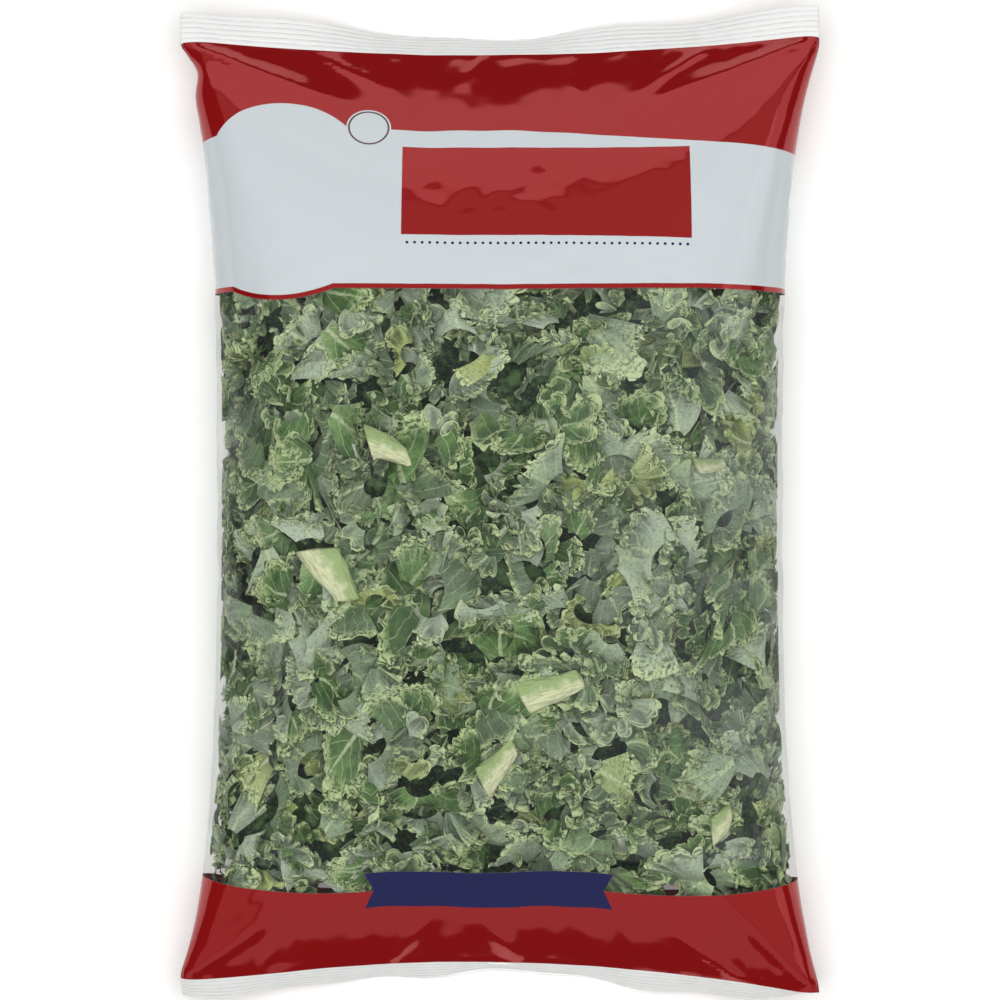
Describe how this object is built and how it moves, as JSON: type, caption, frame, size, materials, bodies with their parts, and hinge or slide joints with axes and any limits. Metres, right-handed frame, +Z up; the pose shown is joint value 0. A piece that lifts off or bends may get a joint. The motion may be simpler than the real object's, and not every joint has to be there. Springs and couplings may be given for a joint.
{
  "type": "bag of chopped kale",
  "caption": "Sealed clear film pillow bag filled with chopped curly kale and bits of stalk, with crimped end seals and printed bands, lying on its back.",
  "frame": {"origin": "middle of the bag's underside, on the surface that it lies on", "axes": "+Y along the bag to its top end, +X across it, +Z up out of its printed front"},
  "size_m": [0.279, 0.423, 0.0699],
  "materials": {
    "film": "clear polypropylene film, printed with opaque red, white and navy areas, crimped white at the end seals",
    "kale_leaf": "waxy grey-green curly kale leaf with pale veins and cut edges",
    "kale_stalk": "pale green to cream cut kale stalk"
  },
  "bodies": {
    "root": {"bag_film": "film", "kale_clump_01": "kale_leaf", "kale_clump_02": "kale_leaf", "kale_clump_03": "kale_leaf", "kale_clump_04": "kale_leaf", "kale_clump_05": "kale_leaf", "kale_clump_06": "kale_leaf", "kale_clump_07": "kale_leaf", "kale_clump_08": "kale_leaf", "kale_clump_09": "kale_leaf", "kale_clump_10": "kale_leaf", "kale_clump_11": "kale_leaf", "kale_clump_12": "kale_leaf", "kale_clump_13": "kale_leaf", "kale_clump_14": "kale_leaf", "kale_clump_15": "kale_leaf", "stalk_chunk_01": "kale_stalk", "stalk_chunk_02": "kale_stalk", "stalk_chunk_03": "kale_stalk", "stalk_chunk_04": "kale_stalk", "stalk_chunk_05": "kale_stalk", "stalk_chunk_06": "kale_stalk", "stalk_chunk_07": "kale_stalk", "stalk_chunk_08": "kale_stalk", "stalk_chunk_09": "kale_stalk", "stalk_chunk_10": "kale_stalk"}
  },
  "joints": []
}
